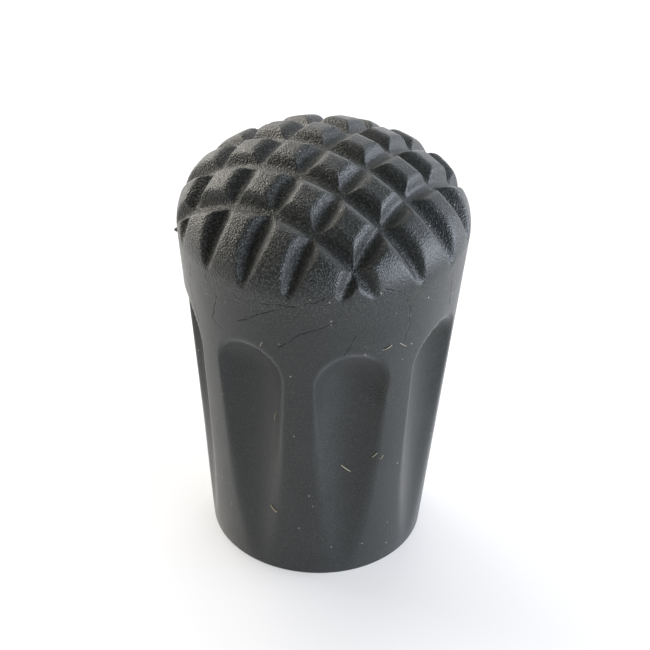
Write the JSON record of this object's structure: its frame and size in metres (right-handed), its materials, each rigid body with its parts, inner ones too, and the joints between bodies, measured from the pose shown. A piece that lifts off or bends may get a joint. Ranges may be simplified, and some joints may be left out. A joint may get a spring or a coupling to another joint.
{
  "type": "trekking pole tip protector",
  "caption": "Moulded rubber tip protector with a cross-grooved dome tread, arched flutes around a flared wall and a blind socket that pushes onto the tip of a trekking pole.",
  "frame": {"origin": "middle of the mouth, on the plane that the part stands on", "axes": "+Z along the axis from the mouth towards the crown; X and Y run along the two sets of tread grooves"},
  "size_m": [0.0316, 0.0316, 0.0499],
  "materials": {
    "rubber": "satin moulded rubber with a fine grain on the tread"
  },
  "bodies": {
    "root": {"tip_protector": "rubber"}
  },
  "joints": []
}
